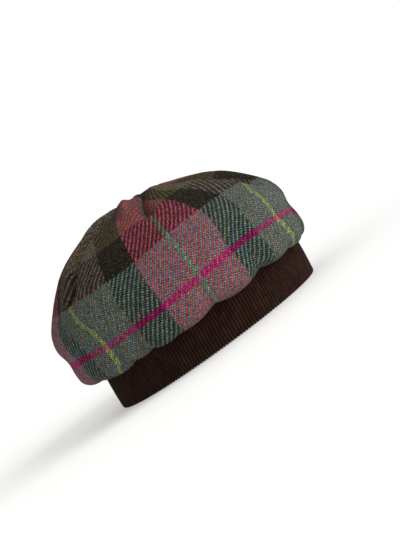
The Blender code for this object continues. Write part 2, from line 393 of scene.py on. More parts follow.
# %% [markdown]
# ## Where each yarn runs
# A check is a matter of lengths. The warp runs up the hat, so its stripes depend on the distance round the
# rim. The weft runs round the hat, so its stripes depend on the distance up the cloth. Both distances go
# into a UV map, in millimetres, and the material counts yarns on them.
#
# Neither keeps quite to its path on a hat. Warp yarns follow the folds, and some cloth is taken up inside a
# pleat, so a table says where a few of them run. Between two of those, the others lie evenly on the folded
# cloth. The magenta line of the check waves up and down a little, and a second table gives its height.

# %% Where some of the yarns run
CLOTH_ROUND = 720.0
# distances up the cloth in millimetres: hem, widest part, turn, two on the shoulder, top of the dome, centre
COURSE_STOPS = (20.0, 37.0, 72.0, 90.0, 105.0, 140.0, 215.0)
# millimetres round the cloth from the middle of the near check, and that yarn's degrees at each stop
COURSES = (
    (-171.0, (-153.5, -153.5, -153.5, -156.8, -159.5, -170.0, -192.0)),
    (-141.0, (-141.2, -141.2, -143.0, -151.5, -157.0, -166.0, -185.0)),
    (-105.0, (-141.0, -132.2, -132.2, -139.5, -145.5, -146.5, -139.0)),
    (-68.0, (-114.2, -114.2, -114.2, -115.2, -116.0, -119.5, -136.0)),
    (-37.5, (-99.4, -99.4, -99.4, -99.9, -100.3, -99.7, -98.5)),
    (0.0, (-81.3, -81.3, -81.3, -81.2, -81.2, -77.2, -65.0)),
    (37.5, (-63.4, -63.4, -64.3, -61.8, -59.8, -59.5, -63.0)),
    (68.5, (-47.5, -47.5, -49.3, -46.6, -44.3, -44.0, -46.0)),
    (105.0, (-30.0, -30.0, -33.8, -32.6, -22.5, -20.0, -12.0)),
    (141.5, (-11.0, -11.0, -11.0, -8.8, -7.0, -4.8, 0.0)),
    (172.5, (8.0, 8.0, 9.0, 11.2, 13.0, 12.7, 12.0)),
    (248.0, (52.0, 52.0, 52.0, 53.1, 54.0, 54.6, 56.0)),
)
# degrees round the hat, and the height of the magenta line there in millimetres
LINE_HEIGHTS = (
    (-172, 56.0), (-145, 58.6), (-128, 56.8), (-103, 58.2), (-80, 61.5), (-57, 63.6),
    (-40, 61.7), (-16, 56.0), (0, 48.0), (14, 47.0), (60, 57.0), (130, 59.0),
)


print("yarns in the table:", len(COURSES), "heights of the line:", len(LINE_HEIGHTS))

# %% Measure the cloth
# the least step of cloth in millimetres, so that none is nought
TINY = 1e-6


def warp_places(degrees, lengths, way_here):
    """Yarn places on one row of the grid, from its angles and its lengths in millimetres so far."""
    known, places = [], []
    for turn in (-1, 0, 1):
        for course_place, angles in COURSES:
            known.append(np.interp(way_here, COURSE_STOPS, angles) + 360.0 * turn)
            places.append(course_place + CLOTH_ROUND * turn)
    three_turns = np.concatenate([degrees[:-1] - 360.0, degrees, degrees[1:] + 360.0])
    three_lengths = np.concatenate([lengths[:-1] - lengths[-1], lengths, lengths[1:] + lengths[-1]])
    return np.interp(lengths, np.interp(known, three_turns, three_lengths), places)


closed_degrees = np.append(column_degrees, RING_SEAM)[None, :]
closed_turned = lean_with_folds(closed_degrees, reach)
closed_grid = np.concatenate([crown_grid, crown_grid[:, :1]], axis=1)
round_steps = np.maximum(np.linalg.norm(np.diff(closed_grid, axis=1), axis=2) / MM, TINY)
round_way = np.pad(np.cumsum(round_steps, axis=1), ((0, 0), (1, 0)))
warp_place = np.stack([warp_places(closed_turned[row], round_way[row], way[row] / MM)
                       for row in range(CLOTH_ROWS)])
line_angles, line_heights = np.array(LINE_HEIGHTS).T
line_height = np.interp(closed_turned, line_angles, line_heights * MM, period=360)
dome_rows = way > oval_way[FIRST_OF_DOME]
line_way = np.interp(line_height, height[dome_rows, 0], way[dome_rows])
weft_place = (way[:, None] - line_way) / MM
print(f"round the rim: {warp_place.min():.0f} to {warp_place.max():.0f} mm")
print(f"up the cloth: {weft_place.min():.0f} to {weft_place.max():.0f} mm")

# %% [markdown]
# ## Ease
# Where the cloth is gathered, its warp stripes close in on each other, but a yarn keeps most of its width,
# so fewer yarns of a stripe show. The ease is the share of them that does. It changes all over the hat, and
# a yarn would be stretched wherever it does, so it is summed up from the middle of each stripe and the mean
# is kept. Two stripes that meet count from different middles. A UV map belongs to the corners of the
# faces, not to the points, so each face can keep to the count of its own stripe.

# %% Mean ease from the middle of each stripe
# the warp's stripes: where each begins in a repeat, and its yarn; the first goes on from the last
WARP_REPEAT = 210.0
WARP_STRIPES = ((0.0, "pink"), (37.5, "moss"), (68.5, "teal"), (141.5, "moss"), (172.5, "pink"))
STRIPE_STARTS = [start for start, _ in WARP_STRIPES[1:]]
INNER_MIDDLES = [(low + high) / 2 for low, high in zip(STRIPE_STARTS, STRIPE_STARTS[1:])]
STRIPE_MIDDLES = [0.0] + INNER_MIDDLES + [WARP_REPEAT]
# how fully a yarn keeps its width: 0 not at all, 1 wholly
EASE_POWER = 0.65
# nearer than this to a stripe's middle, in millimetres, the mean is that of the face itself
AT_THE_MIDDLE = 0.01


def corners_of(grid):
    """A grid's values at the four corners of each of its faces."""
    return np.stack([grid[:-1, :-1], grid[:-1, 1:], grid[1:, 1:], grid[1:, :-1]], axis=2)


def mean_ease(places, eased):
    """The mean ease between each corner and the middle of the stripe that its face lies in."""
    face_place = corners_of(places).mean(axis=2)
    start = np.floor(face_place / WARP_REPEAT) * WARP_REPEAT
    middle_place = start + np.take(STRIPE_MIDDLES, np.searchsorted(STRIPE_STARTS, face_place - start))
    middles, ways = [], []
    for row_places, row_eased in ((places[:-1], eased[:-1]), (places[1:], eased[1:])):
        middle = np.clip(middle_place, row_places[:, :1], row_places[:, -1:])
        middles += [middle, middle]
        way_there = np.stack([np.interp(*row) for row in zip(middle, row_places, row_eased)])
        ways += [way_there, way_there]
    away = corners_of(places) - np.stack(middles, axis=2)
    eased_away = corners_of(eased) - np.stack(ways, axis=2)
    beside = (np.diff(eased, axis=1) / np.diff(places, axis=1))[:-1, :, None]
    close = np.abs(away) < AT_THE_MIDDLE
    return np.where(close, beside, eased_away / np.where(close, 1.0, away))


place_steps = np.maximum(np.diff(warp_place, axis=1), TINY)
eased_steps = round_steps ** EASE_POWER * place_steps ** (1.0 - EASE_POWER)
eased_way = np.pad(np.cumsum(eased_steps, axis=1), ((0, 0), (1, 0)))
print(f"yarns that show on the top row: {eased_way[-2, -1] / CLOTH_ROUND:.0%} of those on the rim")

# %% [markdown]
# ## Make a mesh from a grid
# Both pieces are grids that close round the hat, so one function turns a grid into a mesh. Its UV maps are
# given at the corners too, so the last column of faces can end at the full distance while the first begins
# at nought, although they share their points. A map holds two numbers, and the ease needs only one.

# %% Functions for both pieces
def add_object(name, data):
    """A new object, put into the scene."""
    item = bpy.data.objects.new(name, data)
    bpy.context.scene.collection.objects.link(item)
    return item


def grid_mesh(name, points, uv_maps, cap=None, closed_section=False):
    """A mesh from a grid that closes round the hat; uv_maps are at corners, and cap is a last point."""
    count, columns = points.shape[:2]
    index = np.arange(count * columns).reshape(count, columns)
    index = np.concatenate([index, index[:, :1]], axis=1)
    if closed_section:
        index = np.concatenate([index, index[:1]], axis=0)
    faces = corners_of(index).reshape(-1, 4).tolist()
    places = points.reshape(-1, 3)
    if cap is not None:
        faces += [[int(index[-1, c]), int(index[-1, c + 1]), len(places)] for c in range(columns)]
        places = np.concatenate([places, [cap]])
    mesh = bpy.data.meshes.new(name)
    mesh.from_pydata(places.tolist(), [], faces)
    for map_name, corners in uv_maps.items():
        values = corners.reshape(-1, 2)
        if cap is not None:
            values = np.concatenate([values, corners[-1][:, [3, 2, 3]].reshape(-1, 2)])
        layer = mesh.uv_layers.new(name=map_name)
        layer.data.foreach_set("uv", values.ravel())
    mesh.shade_smooth()
    mesh.validate()
    return add_object(name, mesh)


# %% Make the crown
last = CLOTH_ROWS - 1
ease = mean_ease(warp_place[:last], eased_way[:last])
crown_maps = {
    "cloth": np.stack([corners_of(warp_place[:last]), corners_of(weft_place[:last])], axis=3),
    "ease": np.stack([ease, np.zeros_like(ease)], axis=3),
}
crown = grid_mesh("crown_cloth", crown_grid[:last], crown_maps, cap=crown_grid[last, 0])
thickness = crown.modifiers.new("cloth thickness", "SOLIDIFY")
thickness.thickness = CLOTH
thickness.offset = -1.0
print("faces of the crown's outer side:", len(crown.data.polygons))

# %% [markdown]
# ## The knit band
# Rib knit has raised columns of stitches, about 3 mm apart, with sunk columns between them. The ribs are
# large enough to see on the outline, so they are modelled, six columns of mesh to a rib. The stitches are
# smaller than the mesh and stay in the material.
#
# The tube is folded double, so its section is a narrow U: down inside the hat, round the fold that the hat
# stands on, up the outside, and back through the gap between the two layers.

# %% The band's section
BAND_WALL = 3.6 * MM
KNIT = 1.7 * MM
FOLD_ROUNDING = 1.8 * MM
FACE_ROWS = 20
FOLD_ROWS = 8
GAP_ROWS = 3


def band_section():
    """A closed line of points: inset from the outer face, height, and which way a groove goes into it."""
    faces = np.linspace(band_height, FOLD_ROUNDING, FACE_ROWS)
    gaps = np.linspace(band_height, FOLD_ROUNDING + KNIT, GAP_ROWS)
    line = [(BAND_WALL, z, -1.0, 0.0) for z in faces]
    for step in range(1, FOLD_ROWS):
        angle = math.pi * step / FOLD_ROWS
        side, down = math.cos(angle), math.sin(angle)
        line.append((BAND_WALL / 2 * (1.0 + side), FOLD_ROUNDING * (1.0 - down), -side, down))
    line += [(0.0, z, 1.0, 0.0) for z in faces[::-1]]
    line += [(KNIT, z, 0.0, 0.0) for z in gaps]
    line.append((BAND_WALL / 2, FOLD_ROUNDING + KNIT / 2, 0.0, 0.0))
    line += [(BAND_WALL - KNIT, z, 0.0, 0.0) for z in gaps[::-1]]
    return np.array(line)


section = band_section()
print("points in the band's section:", len(section))

# %% The band's grid
RIBS = 190
COLUMNS_PER_RIB = 6
RIB_RELIEF = 0.8 * MM
RIB_ROUNDNESS = 1.4
# the band swells a little halfway up, and waves slightly: two sines of so many waves round, and their starts
BAND_BULGE = 0.4 * MM
BAND_WAVE = 0.35 * MM
WAVES = ((7.0, 1.0), (3.0, 2.0))
# small steps for measuring the oval: eight to a degree
OVAL_STEPS = 2880


def even_angles(count, a, b):
    """Angles that cut an oval into pieces of the same length, and the oval's girth."""
    angles = np.linspace(0.0, 2.0 * math.pi, OVAL_STEPS + 1)
    middles = (angles[1:] + angles[:-1]) / 2
    lengths = np.concatenate(([0.0], np.cumsum(np.hypot(a * np.sin(middles), b * np.cos(middles)))))
    lengths *= angles[1]
    return np.interp(lengths[-1] * np.arange(count) / count, lengths, angles), lengths[-1]


band_angles, band_girth = even_angles(RIBS * COLUMNS_PER_RIB, band_length / 2, band_width / 2)
inset, level, groove_in, groove_up = (section[:, [i]] for i in range(4))
rib_phase = np.arange(RIBS * COLUMNS_PER_RIB) / COLUMNS_PER_RIB
groove = RIB_RELIEF * (0.5 - 0.5 * np.cos(2.0 * math.pi * rib_phase)) ** RIB_ROUNDNESS
wave = BAND_WAVE * np.prod([np.sin(waves * band_angles + start) for waves, start in WAVES], axis=0)
inward = inset + groove * groove_in - (BAND_BULGE + wave) * np.sin(math.pi * level / band_height)
band_heights = level + groove * groove_up
band_grid = np.stack([
    BAND_LEAN * level / band_height + (band_length / 2 - inward) * np.cos(band_angles),
    (band_width / 2 - inward) * np.sin(band_angles),
    band_heights,
], axis=2)
print(f"girth of the band {band_girth / MM:.0f} mm, ribs {band_girth / RIBS / MM:.2f} mm apart")

# %% Make the band
section_steps = np.hypot(np.diff(section[:, 0]), np.diff(section[:, 1]))
section_way = np.concatenate(([0.0], np.cumsum(section_steps), [section_steps.sum() + KNIT])) / MM
knit_along = np.broadcast_to(section_way[:, None], (len(section) + 1, RIBS * COLUMNS_PER_RIB + 1))
knit_round = np.broadcast_to(np.append(rib_phase, RIBS), knit_along.shape)
knit_corners = np.stack([corners_of(knit_round), corners_of(knit_along)], axis=3)
band = grid_mesh("rib_band_knit", band_grid, {"knit": knit_corners}, closed_section=True)
print("faces of the band:", len(band.data.polygons))

# %% [markdown]
# ## Tools for the materials
# A material is a small sum, worked out at every point of the surface. These helpers write one node a line,
# so that the weave below reads like the sum that it is.

# %% Helpers for nodes
def feed(tree, socket, value):
    """Join a socket to another node's output, or type a plain value into it."""
    if isinstance(value, bpy.types.NodeSocket):
        tree.links.new(value, socket)
    else:
        socket.default_value = value


def new_node(tree, kind, *values, **settings):
    """A node with its settings, and with its first inputs fed in their order."""
    node = tree.nodes.new("ShaderNode" + kind)
    for name, setting in settings.items():
        setattr(node, name, setting)
    for socket, value in zip(node.inputs, values):
        feed(tree, socket, value)
    return node


def number(tree, operation, *values):
    """A number that is worked out from others."""
    return new_node(tree, "Math", *values, operation=operation).outputs["Value"]


def place(tree, x, y, z=0.0):
    """Three numbers joined to a place, or to a colour."""
    return new_node(tree, "CombineXYZ", x, y, z).outputs["Vector"]


def blend(tree, share, first, second, way_to_mix="MIX"):
    """The first colour where share is 0, the second where it is 1."""
    node = new_node(tree, "Mix", share, data_type="RGBA", blend_type=way_to_mix)
    feed(tree, node.inputs[6], first)
    feed(tree, node.inputs[7], second)
    return node.outputs[2]


def shaded(tree, colour, shade):
    """A colour made darker by a shade under 1, and lighter by one over 1."""
    return blend(tree, 1.0, colour, place(tree, shade, shade, shade), "MULTIPLY")


def between(tree, value, low, high, out_low=0.0, out_high=1.0):
    """The way that a value has gone from low to high, told from out_low to out_high."""
    return new_node(tree, "MapRange", value, low, high, out_low, out_high).outputs["Result"]


def cloudy(tree, where, scale, detail=2.0):
    """Soft noise from 0 to 1."""
    node = new_node(tree, "TexNoise", where)
    node.inputs["Scale"].default_value = scale
    node.inputs["Detail"].default_value = detail
    return node.outputs["Fac"]


def new_group(name, inputs, outputs):
    """A node group with named sockets, which hold numbers unless the name is Colour."""
    tree = bpy.data.node_groups.new(name, "ShaderNodeTree")
    for side, labels in (("INPUT", inputs), ("OUTPUT", outputs)):
        for label in labels:
            kind = "NodeSocketColor" if label == "Colour" else "NodeSocketFloat"
            tree.interface.new_socket(label, in_out=side, socket_type=kind)
    return tree, tree.nodes.new("NodeGroupInput").outputs, tree.nodes.new("NodeGroupOutput").inputs


def use_group(tree, group, *values):
    """What a group gives for values that are fed to it in their order."""
    return new_node(tree, "Group", *values, node_tree=group).outputs


def linear(code):
    """A colour as painters write it, such as B5485A, in the shader's linear values."""
    shares = [int(code[i:i + 2], 16) / 255 for i in (0, 2, 4)]
    return tuple(s / 12.92 if s <= 0.04045 else ((s + 0.055) / 1.055) ** 2.4 for s in shares) + (1.0,)


print("helpers ready")

# %% [markdown]
# ## Wool
# Woollen yarn is spun from fleece that was dyed in several colours and then carded together. Close up, a
# pink yarn has flecks of orange and blue, each a millimetre or two long. A smooth noise would blur them, so
# each short length of each yarn draws its own random numbers. Tweed and knit both show this, so it is a
# group: it says where the flecks are, how dark the yarn is, and where fibres stand up.

# %% The wool group
# how far each yarn's flecks are shifted along it, and how far apart two yarns lie in the noise
YARN_SHIFT, YARN_SPREAD = 0.618, 0.71
# waves of noise to a fleck's length: the tone drifts slowly, and the fluff is fine, on a level of its own
DRIFT_WAVES, FLUFF_WAVES, FLUFF_LEVEL = 0.12, 5.0, 91.4
# each fleck fades in between two values of its random number
FIRST_FLECK, SECOND_FLECK = (0.62, 0.78), (0.68, 0.84)
# how much of the tone is drawn anew for each length of yarn; the rest of it drifts
DRAWN_TONE = 0.6


def random_numbers(tree, x, y):
    """Three random numbers from 0 to 1 for a pair of whole numbers."""
    drawn = new_node(tree, "TexWhiteNoise", place(tree, x, y), noise_dimensions="2D")
    return new_node(tree, "SeparateXYZ", drawn.outputs["Color"]).outputs


def wool_group():
    """Flecks, tone and fluff at a place along a numbered yarn."""
    tree, given, out = new_group("carded wool", ("Yarn", "Along", "Fleck length"),
                                 ("First fleck", "Second fleck", "Tone", "Fluff"))
    along = number(tree, "DIVIDE", given["Along"], given["Fleck length"])
    shift = number(tree, "MULTIPLY", given["Yarn"], YARN_SHIFT)
    piece = number(tree, "FLOOR", number(tree, "ADD", along, shift))
    drawn = random_numbers(tree, piece, given["Yarn"])
    spread = number(tree, "MULTIPLY", given["Yarn"], YARN_SPREAD)
    drift = cloudy(tree, place(tree, number(tree, "MULTIPLY", along, DRIFT_WAVES), spread), 1.0)
    drift = number(tree, "MULTIPLY", drift, 1.0 - DRAWN_TONE)
    fine = number(tree, "MULTIPLY", along, FLUFF_WAVES)
    feed(tree, out["First fleck"], between(tree, drawn["X"], *FIRST_FLECK))
    feed(tree, out["Second fleck"], between(tree, drawn["Y"], *SECOND_FLECK))
    feed(tree, out["Tone"], number(tree, "MULTIPLY_ADD", drawn["Z"], DRAWN_TONE, drift))
    feed(tree, out["Fluff"], cloudy(tree, place(tree, fine, shift, FLUFF_LEVEL), 1.0, 3.0))
    return tree


wool = wool_group()
print("group:", wool.name)

# %% [markdown]
# ## The check
# A tartan is written as a thread count: which yarn, and how many of it. Here each stripe is written by the
# place in millimetres where it begins. The warp's stripes were given above, with the ease. The weft shows
# once, from the hem to the centre. Each yarn is a ground colour with two colours of fleck.

# %% Thread counts
YARNS = {
    "pink": ("B04C62", "B25448", "82507C"),
    "moss": ("21251A", "1E2C24", "3E4026"),
    "teal": ("6C6251", "765C46", "4E6A72"),
    "silver": ("68756F", "7A7C58", "48707E"),
    "magenta": ("B4006E", "A80066", "B81A7C"),
    "lime": ("A6B24A", "909E48", "B2BC60"),
    "jade": ("6E8E74", "587C62", "94A482"),
    "bark": ("2A1A14", "53342A", "1C110C"),
    "olive": ("615035", "6C5232", "524F2E"),
    "violet": ("5E4C7C", "54487A", "7A5A88"),
}
# the weft's stripes: where each begins, up the cloth from the middle of the magenta line
WEFT_STRIPES = (
    (-100.0, "bark"), (-48.0, "silver"), (-3.4, "magenta"), (3.4, "silver"),
    (48.0, "bark"), (83.0, "olive"), (121.0, "violet"), (124.0, "olive"),
)
WEFT_FROM, WEFT_TO = -100.0, 160.0
# millimetres from one warp yarn to the next, and from one weft yarn to the next
END_PITCH = 1.23
PICK_PITCH = 1.70
# single lines: the first and the last end of each, counted from the middle of its stripe
JADE_ENDS = (-1, 1)
LIME_ENDS = (-2, 1)
# the tones at which a yarn is darkest and lightest, and its shades there
TONES, TONE_SHADES = (0.2, 0.8), (0.5, 1.5)


def stripe_colours(tree, where, stripes, low, high):
    """Ground and fleck colours of the striped yarns, as three ramps with hard edges."""
    share = between(tree, where, low, high)
    colours = []
    for which in range(3):
        node = new_node(tree, "ValToRGB", share)
        ramp = node.color_ramp
        ramp.interpolation = "CONSTANT"
        while len(ramp.elements) < len(stripes):
            ramp.elements.new(1.0)
        for element, (start, yarn) in zip(ramp.elements, stripes):
            element.position = (start - low) / (high - low)
            element.color = linear(YARNS[yarn][which])
        colours.append(node.outputs["Color"])
    return colours


def flecked(tree, colours, fibres):
    """A yarn's ground colour with its flecks."""
    mixed = blend(tree, fibres["First fleck"], colours[0], colours[1])
    return blend(tree, fibres["Second fleck"], mixed, colours[2])


def yarn_colour(tree, colours, fibres):
    """The flecked colour, a little lighter and darker along the yarn."""
    tone = between(tree, fibres["Tone"], *TONES, *TONE_SHADES)
    return shaded(tree, flecked(tree, colours, fibres), tone)


print("yarns:", ", ".join(YARNS))

# %% [markdown]
# ## The weave
# Tweed is usually a two-and-two twill. Each warp yarn, or end, goes over two weft yarns, or picks, and under
# two, and the next end does the same one pick later. So the yarn on top is known from the two counts: it is
# the warp where the end's number less the pick's number, counted in fours, is 0 or 1. The same counts say
# how far along its float a yarn is, and so how high it stands.

# %% Count the yarns
def stripe_middle(tree, repeat):
    """The middle of the warp stripe that a place in the repeat lies in."""
    here = 0.0
    for start, jump in zip(STRIPE_STARTS, np.diff(STRIPE_MIDDLES)):
        passed = number(tree, "GREATER_THAN", repeat, start)
        here = number(tree, "MULTIPLY_ADD", passed, float(jump), here)
    return here


def count_yarns(tree, distance, pitch):
    """Which yarn a distance falls on, and how far across that yarn it is."""
    yarns = number(tree, "DIVIDE", distance, pitch)
    whole = number(tree, "FLOOR", yarns)
    return whole, number(tree, "SUBTRACT", yarns, whole)


def twill_step(tree, end, pick):
    """0 to 3: the end's number less the pick's number, counted in fours."""
    step = number(tree, "WRAP", number(tree, "SUBTRACT", end, pick), 4.0, 0.0)
    return number(tree, "MODULO", number(tree, "ROUND", step), 4.0)


def choose(tree, share, first, second):
    """The first value where share is 1, and the second where it is 0."""
    return number(tree, "MULTIPLY_ADD", share, number(tree, "SUBTRACT", first, second), second)


def hump(tree, share, sharpness=1.0):
    """A hill, as a sine is: nought where share is 0 or 1, and 1 in the middle. Below 1 it is blunter."""
    hill = number(tree, "SINE", number(tree, "MULTIPLY", share, math.pi))
    return number(tree, "POWER", number(tree, "MAXIMUM", hill, 0.0), sharpness)


print(f"{1 / END_PITCH:.2f} ends and {1 / PICK_PITCH:.2f} picks to a millimetre")

# %% [markdown]
# Two short sums finish the weave. One gives the colours of the warp yarn at a place, with the single lines
# of jade and lime added in. The other is the group itself, which picks whichever yarn is on top. Real cloth
# isn't so clean: the yarns wander a little, and fibres of the lower yarn show through as nap.

# %% Colours of the warp
# how near a stripe's middle and a yarn's number have to be, to be taken as the one that is meant
SAME_MIDDLE, SAME_YARN = 1.0, 0.1


def warp_line_colours(tree, repeat, middle_here, end):
    """Ground and fleck colours of the warp, with its single lines, and where those lines are."""
    colours = stripe_colours(tree, repeat, WARP_STRIPES, 0.0, WARP_REPEAT)
    on_line = 0.0
    # the teal stripe has its middle at half a repeat, the pink one at either end
    in_teal = number(tree, "COMPARE", middle_here, WARP_REPEAT / 2, SAME_MIDDLE)
    from_end = number(tree, "PINGPONG", middle_here, WARP_REPEAT / 2)
    in_pink = number(tree, "LESS_THAN", from_end, SAME_MIDDLE)
    for yarn, inside, (low, high) in (("jade", in_pink, JADE_ENDS), ("lime", in_teal, LIME_ENDS)):
        near = number(tree, "COMPARE", end, (low + high) / 2, (high - low) / 2 + SAME_YARN)
        share = number(tree, "MULTIPLY", inside, near)
        colours = [blend(tree, share, colours[i], linear(YARNS[yarn][i])) for i in range(3)]
        on_line = number(tree, "ADD", on_line, share)
    return colours, on_line


print("single lines:", JADE_ENDS, LIME_ENDS)

# %% The weave group
FLECK_LENGTH = 1.3
YARN_SHARPNESS = 0.8
# how much of the lower yarn shows through, in plain cloth and in the single lines
NAP = 0.10
LINE_NAP = 0.26
# how far a yarn may wander in millimetres, and its waves of noise to a millimetre
WANDER = 0.9
WANDER_WAVES = 0.5
# how far the fluff stands up, beside a yarn's own height
FLUFF_HEIGHT = 0.5
# the weft's yarns are numbered on from here, so that they look like none of the warp's
FIRST_PICK = 700.0


def weave_group():
    """Colour, height and painted shade of the cloth, from the two distances and the ease."""
    tree, given, out = new_group("tartan twill", ("Warp place", "Weft place", "Ease"),
                                 ("Colour", "Height", "Shade"))
    repeat = number(tree, "WRAP", given["Warp place"], WARP_REPEAT, 0.0)
    middle_here = stripe_middle(tree, repeat)
    across = number(tree, "MULTIPLY", number(tree, "SUBTRACT", repeat, middle_here), given["Ease"])

    # no yarn runs quite straight
    where = place(tree, number(tree, "ADD", middle_here, across), given["Weft place"])
    sideways = between(tree, cloudy(tree, where, WANDER_WAVES), 0.0, 1.0, -WANDER, WANDER)
    end, in_end = count_yarns(tree, number(tree, "ADD", across, sideways), END_PITCH)
    pick, in_pick = count_yarns(tree, number(tree, "SUBTRACT", given["Weft place"], sideways), PICK_PITCH)
    step = twill_step(tree, end, pick)
    warp_up = number(tree, "LESS_THAN", step, 1.5)

    # a float is two yarns long: how far along it the upper yarn is, and how far across
    warp_along = number(tree, "SUBTRACT", number(tree, "ADD", in_pick, 1.0), step)
    weft_along = number(tree, "SUBTRACT", number(tree, "ADD", in_end, step), 2.0)
    along = number(tree, "MULTIPLY", choose(tree, warp_up, warp_along, weft_along), 0.5)
    arch = hump(tree, along)
    roundness = hump(tree, choose(tree, warp_up, in_end, in_pick), YARN_SHARPNESS)
    relief = number(tree, "MULTIPLY", arch, roundness)

    # each yarn has its own flecks, and the thicker weft has them in two plies; the upper yarn is seen
    warp_yarn = number(tree, "ADD", end, middle_here)
    warp_wool = use_group(tree, wool, warp_yarn, given["Weft place"], FLECK_LENGTH)
    ply = number(tree, "MULTIPLY_ADD", number(tree, "GREATER_THAN", in_pick, 0.5), 0.5, pick)
    weft_yarn = number(tree, "ADD", ply, FIRST_PICK)
    weft_wool = use_group(tree, wool, weft_yarn, number(tree, "ADD", middle_here, across), FLECK_LENGTH)
    warp_colours, on_line = warp_line_colours(tree, repeat, middle_here, end)
    weft_colours = stripe_colours(tree, given["Weft place"], WEFT_STRIPES, WEFT_FROM, WEFT_TO)
    warp = yarn_colour(tree, warp_colours, warp_wool)
    weft = yarn_colour(tree, weft_colours, weft_wool)
    fluff = choose(tree, warp_up, warp_wool["Fluff"], weft_wool["Fluff"])

    # the lower yarn shows through as nap
    nap = number(tree, "MULTIPLY_ADD", on_line, LINE_NAP - NAP, NAP)
    warp_share = choose(tree, warp_up, number(tree, "SUBTRACT", 1.0, nap), nap)
    feed(tree, out["Colour"], blend(tree, warp_share, weft, warp))
    feed(tree, out["Height"], number(tree, "MULTIPLY_ADD", fluff, FLUFF_HEIGHT, relief))
    # the relief once more, which the material turns into painted shade in the grooves and painted light on
    # the yarns
    feed(tree, out["Shade"], relief)
    return tree


weave = weave_group()
print("group:", weave.name, "with", len(weave.nodes), "nodes")

# %% [markdown]
# ## The tweed material
# The group gives the colour and the relief. The material adds what the whole cloth does: it is matt, and
# light catches in its nap at a glance. It also paints shade into the grooves between the yarns, and light
# onto their tops.

# %% Tweed
GLOSS = 0.05
SHEEN_ROUGHNESS = 0.5
# the heights at which the painted shade of a groove is darkest and the painted light on a yarn is brightest,
# and the shades that are painted there
LEVELS, PAINTED_SHADES = (0.05, 0.85), (0.2, 1.12)
TWEED_RELIEF = 0.45 * MM


def uv(tree, name):
    """The two numbers of a UV map, as X and Y."""
    node = new_node(tree, "UVMap", uv_map=name)
    return new_node(tree, "SeparateXYZ", node.outputs["UV"]).outputs


def new_material(name, roughness, sheen):
    """A material with hardly any gloss, its nodes and its shader."""
    material = bpy.data.materials.new(name)
    material.use_nodes = True
    shader = material.node_tree.nodes["Principled BSDF"]
    shader.inputs["Roughness"].default_value = roughness
    shader.inputs["Sheen Weight"].default_value = sheen
    shader.inputs["Sheen Roughness"].default_value = SHEEN_ROUGHNESS
    shader.inputs["Specular IOR Level"].default_value = GLOSS
    return material, material.node_tree, shader


def bump(tree, shader, height, distance):
    """Relief that is too fine for the mesh."""
    node = new_node(tree, "Bump")
    node.inputs["Distance"].default_value = distance
    feed(tree, node.inputs["Height"], height)
    tree.links.new(node.outputs["Normal"], shader.inputs["Normal"])


def tweed_material():
    material, tree, shader = new_material("tweed", roughness=0.95, sheen=0.02)
    cloth = uv(tree, "cloth")
    woven = use_group(tree, weave, cloth["X"], cloth["Y"], uv(tree, "ease")["X"])
    # painted shade in the grooves between the yarns and painted light on their tops
    shade = between(tree, woven["Shade"], *LEVELS, *PAINTED_SHADES)
    feed(tree, shader.inputs["Base Color"], shaded(tree, woven["Colour"], shade))
    bump(tree, shader, woven["Height"], TWEED_RELIEF)
    return material


tweed = tweed_material()
crown.data.materials.append(tweed)
print("material:", tweed.name)

# %% [markdown]
# ## The rib knit material
# A column of knit stitches is a row of small V shapes. The two legs of each V lean towards the middle of
# the rib, so the height follows a saw along the rib that is pushed back to either side. The sunk ribs
# between them lie in shadow, and shadow is painted into their colour too; the gaps between stitches get
# painted shade and the legs painted light.

# %% Rib knit
STITCH_LENGTH = 2.1
# how many stitches a leg runs on for each rib's width that it leans, and how blunt it is
LEG_SLANT = 2.2
LEG_BLUNTNESS = 0.7
KNIT_FLECK_LENGTH = 6.0
KNIT_YARN = [linear(code) for code in ("2E1B13", "35211A", "28170F")]
# how far down the painted shadow of a sunk rib begins and is full, and its shades there
SUNK, SUNK_SHADES = (0.25, 0.95), (1.0, 0.4)
# painted shade of the gap between two stitches, and how much painted light a leg gets
STITCH_SHADE, LEG_LIGHT = 0.85, 0.25
KNIT_FLUFF = 0.4
KNIT_RELIEF = 0.3 * MM


def knit_material():
    material, tree, shader = new_material("rib_knit", roughness=0.9, sheen=0.04)
    knit = uv(tree, "knit")
    rib = number(tree, "ROUND", knit["X"])
    off_rib = number(tree, "ABSOLUTE", number(tree, "SUBTRACT", knit["X"], rib))
    stitches = number(tree, "DIVIDE", knit["Y"], STITCH_LENGTH)
    leg = number(tree, "PINGPONG", number(tree, "MULTIPLY_ADD", off_rib, -LEG_SLANT, stitches), 0.5)
    stitch = number(tree, "POWER", number(tree, "MULTIPLY", leg, 2.0), LEG_BLUNTNESS)
    fibres = use_group(tree, wool, rib, knit["Y"], KNIT_FLECK_LENGTH)
    # painted shadow in the sunk ribs, painted shade between the stitches and painted light on the legs
    sunk = between(tree, number(tree, "MULTIPLY", off_rib, 2.0), *SUNK, *SUNK_SHADES)
    shade = number(tree, "MULTIPLY", sunk, number(tree, "MULTIPLY_ADD", stitch, LEG_LIGHT, STITCH_SHADE))
    feed(tree, shader.inputs["Base Color"], shaded(tree, flecked(tree, KNIT_YARN, fibres), shade))
    bump(tree, shader, number(tree, "MULTIPLY_ADD", fibres["Fluff"], KNIT_FLUFF, stitch), KNIT_RELIEF)
    return material


knit = knit_material()
band.data.materials.append(knit)
print("material:", knit.name)

# %% [markdown]
# ## Tell the frame what stands for what
# Each new piece rides on the hat's one body and hides the plain solid that it stands for.

for piece, node, slot_name in ((crown, "crown", "tweed"), (band, "rib_band", "rib_knit")):
    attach(piece, "root")
    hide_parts(node)
print("pieces:", crown.name, band.name)

# %% [markdown]
# ## Studio and camera
# The hat stands by itself on its band. In the picture it sits at a slant, so here the camera is rolled by
# that slant and everything else stays level. The floor is one wide sheet of white paper. It is so wide
# that its far edge lies at the horizon, and it glows a little, so that it is as bright as the white there.

# %% Floor
FLOOR_SIZE = 60.0
FLOOR_DROP = 0.2 * MM
PAPER_GLOW = 0.3
